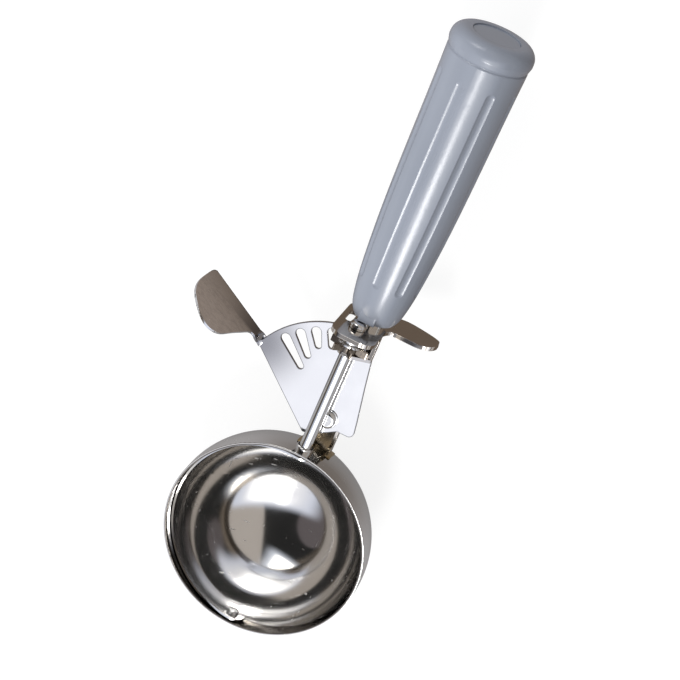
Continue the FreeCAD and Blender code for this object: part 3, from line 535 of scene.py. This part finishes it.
def lever_steel(name, shade_and_streak_tone, bright):
    """Polished sheet with painted shade: darker near the plate's corner where the thumb pad leaves
    it.

    The pad has drawn streaks, and the plate's sharp edges carry painted shade as dark outlines.
    """
    material, tree, shader = new_material(name)
    shader.inputs["Metallic"].default_value = 1.0
    corner = BOWL_CENTRE + PAD_ROOT
    place = tree.stretched((1, 1, 1), corner)
    x, y, height = tree.split(place)
    pad = tree.step(height, *PAD_RISE)
    # Painted shade near the pad's root; the pad itself stays bright
    share = tree.math("MAXIMUM", tree.step(tree.length(x, y), *PAD_ROOT_SHADE_REACH), pad)
    wipe = tree.noise(place, 90.0, 4.0, 0.6)
    lines = tree.noise(tree.stretched((300, 300, 3000), corner), 1.0, 2.0, 0.6)
    colour = tree.mix(share, shade_and_streak_tone, bright)
    drawn = tree.noise(tree.stretched((900, 45, 900), corner), 1.0, 2.0, 0.6)
    streaks = tree.math("MULTIPLY", pad, tree.step(drawn, 0.35, 0.75, 0.0, 0.25))
    colour = tree.mix(streaks, colour, shade_and_streak_tone)
    # Painted shade along the plate's sharp edges, below the pad's rise
    level = tree.step(height, *PLATE_EDGE_HEIGHTS, 0.95, 0.0)
    edge = tree.math("MULTIPLY", tree.edge(PLATE_EDGE_REACH), level)
    colour = tree.mix(edge, colour, PLATE_EDGE_SHADE)
    tree.feed(shader.inputs["Base Color"], colour)
    tree.feed(shader.inputs["Roughness"], tree.step(wipe, 0.3, 0.7, 0.07, 0.13))
    tree.feed(shader.inputs["Normal"], tree.bump(lines, 0.03, 0.0002))
    return material


def painted_shade_on_tops(tree, colour):
    """Painted shade: faces that look straight up or down are darker than the polished sheet,
    inside their bright corners.
    """
    inside = tree.math("SUBTRACT", 1.0, tree.edge(TOP_SHADE_CLEAR_EDGE))
    share = tree.math("MULTIPLY", tree.math("MULTIPLY", tree.upright(), inside), TOP_PAINTED_SHADE_SHARE)
    return tree.mix(share, colour, TOP_PAINTED_SHADE)


def straw_tint(tree, colour):
    """Heat tint where the neck's foot was brazed to the bowl."""
    x = tree.split(tree.stretched((1, 1, 1), BOWL_CENTRE))[0]
    blotch = tree.noise(tree.stretched((1, 1, 1)), 350.0, 3.0, 0.6)
    near = tree.math("ADD", x, tree.math("MULTIPLY", blotch, STRAW_BLOTCH))
    return tree.mix(tree.step(near, *STRAW_REACH, 0.75, 0.0), colour, STRAW_TONE)


def grip_plastic(name, colour, deep):
    """Glossy moulded plastic with a faint orange peel, cloudy colour and softened edges."""
    material, tree, shader = new_material(name)
    cloud = tree.noise(tree.stretched((1, 1, 1)), 18.0, 4.0, 0.55)
    peel = tree.noise(tree.stretched((1, 1, 1)), 900.0, 2.0, 0.5)
    tree.feed(shader.inputs["Base Color"], tree.mix(tree.step(cloud, 0.3, 0.7), deep, colour))
    tree.feed(shader.inputs["Roughness"], tree.step(cloud, 0.3, 0.7, 0.21, 0.27))
    tree.feed(shader.inputs["Normal"], tree.bump(peel, 0.02, 0.0002, tree.rounded(GRIP_EDGE)))
    shader.inputs["IOR"].default_value = 1.5
    shader.inputs["Specular IOR Level"].default_value = 0.7
    return material


def braze_bronze(name):
    """Dull golden braze with an uneven surface."""
    material, tree, shader = new_material(name)
    shader.inputs["Metallic"].default_value = 1.0
    blobs = tree.noise(tree.stretched((1, 1, 1)), 420.0, 4.0, 0.6)
    tree.feed(shader.inputs["Base Color"], tree.mix(blobs, BRAZE_DARK, BRAZE_LIGHT))
    tree.feed(shader.inputs["Roughness"], tree.step(blobs, 0.3, 0.7, 0.22, 0.42))
    tree.feed(shader.inputs["Normal"], tree.bump(blobs, 0.5, 0.0004))
    return material


def make_materials():
    steel_dark = grey(0.70)
    steel_light = grey(0.80)
    return {
        "bowl_steel": bowl_steel("bowl_spun"),
        "blade_steel": polished_steel(
            "blade_strip", steel_dark, steel_light, 0.08, 0.18, (500, 4000, 4000), BOWL_CENTRE
        ),
        "rod_steel": polished_steel(
            "rod_polished", steel_dark, steel_light, 0.04, 0.10, (3000, 200, 200)
        ),
        # The pinion's dark warm tones are painted shade, the look of a part in shadow
        "gear_steel": polished_steel(
            "gear_pressed_painted_shade", (0.17, 0.145, 0.12, 1), (0.30, 0.26, 0.22, 1), 0.16, 0.30,
            (1200, 1200, 1200), bump=0.12
        ),
        "turned_steel": polished_steel(
            "turned_bright", grey(0.66), grey(0.78), 0.08, 0.18, (2500, 600, 600), bump=0.08
        ),
        # Its first tone is painted shade near the pad's root, and also the tone of the pad's drawn
        # streaks
        "lever_steel": lever_steel("lever_polished", (0.33, 0.33, 0.35, 1), (0.90, 0.90, 0.91, 1)),
        "bolster_steel": polished_steel(
            "bolster_polished", (0.74, 0.69, 0.63, 1), (0.84, 0.79, 0.73, 1), 0.06, 0.14,
            (300, 1500, 1500), overlay=painted_shade_on_tops
        ),
        "neck_steel": polished_steel(
            "neck_sheet", (0.58, 0.54, 0.49, 1), (0.72, 0.70, 0.67, 1), 0.12, 0.24,
            (200, 1500, 1500), overlay=straw_tint
        ),
        "tang_steel": polished_steel(
            "tang_bar", grey(0.5), grey(0.62), 0.2, 0.35, (200, 2000, 2000), bump=0.1
        ),
        "spring_wire": polished_steel(
            "spring_drawn", grey(0.45), grey(0.56), 0.2, 0.32, (1500, 1500, 1500), bump=0.08
        ),
        "braze_bronze": braze_bronze("braze_seam_bronze"),
        "grip_plastic": grip_plastic(
            "grip_blue_grey", (0.33, 0.36, 0.43, 1), (0.305, 0.335, 0.40, 1)
        ),
        "plug_plastic": grip_plastic(
            "plug_blue_grey", (0.32, 0.35, 0.415, 1), (0.30, 0.33, 0.395, 1)
        ),
    }


# Edges: the sheet pieces, the pinion and the tang get small rounds that catch the light, in mm

EDGE_ROUNDS = {
    "lever_plate": 0.22,
    "bolster_plate": 0.25,
    "bearing_ear": 0.22,
    "neck_channel": 0.20,
    "pinion": 0.15,
    "tang": 0.30,
}
WELD_DISTANCE = 0.002 * MM
FLAT_ANGLE = math.radians(0.5)
ROUND_ANGLE = math.radians(35)


def body_of_node(name):
    for body, nodes in frame["record"]["behaviour"]["bodies"].items():
        if name in nodes:
            return body
    return "frame"


def round_edges(name, width_mm, material):
    """A copy of a node with joined facets and rounded edges, which stands for the node."""
    source = frame["nodes"][name]
    shape = bmesh.new()
    shape.from_mesh(source.data)
    bmesh.ops.remove_doubles(shape, verts=shape.verts, dist=WELD_DISTANCE)
    bmesh.ops.dissolve_limit(
        shape, angle_limit=FLAT_ANGLE, use_dissolve_boundaries=False,
        verts=shape.verts, edges=shape.edges,
    )
    mesh = bpy.data.meshes.new(name + "_finished")
    shape.to_mesh(mesh)
    shape.free()
    mesh.shade_smooth()
    mesh.materials.append(material)
    piece = bpy.data.objects.new(name + "_finished", mesh)
    bpy.context.scene.collection.objects.link(piece)
    bevel = piece.modifiers.new("edge_round", "BEVEL")
    bevel.width = width_mm * MM
    bevel.segments = 2
    bevel.limit_method = "ANGLE"
    bevel.angle_limit = ROUND_ANGLE
    bevel.use_clamp_overlap = True
    bevel.face_strength_mode = "FSTR_ALL"
    even = piece.modifiers.new("even_normals", "WEIGHTED_NORMAL")
    even.use_face_influence = True
    even.weight = 100
    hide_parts(name)
    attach(piece, body_of_node(name))


def dress_nodes(materials):
    """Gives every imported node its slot's material, or a copy with rounded edges."""
    for entry in frame["record"]["subparts"]:
        name = entry["node"]
        slot = entry["material_slot"]
        if name in EDGE_ROUNDS:
            round_edges(name, EDGE_ROUNDS[name], materials[slot])
            continue
        node = frame["nodes"][name]
        node.data.materials.clear()
        node.data.materials.append(materials[slot])


def main():
    scene = bpy.context.scene
    scene.view_settings.view_transform = "Standard"
    make_camera()
    make_world()
    make_floor()
    for lamp in LAMPS:
        add_lamp(*lamp)
    dress_nodes(make_materials())


main()
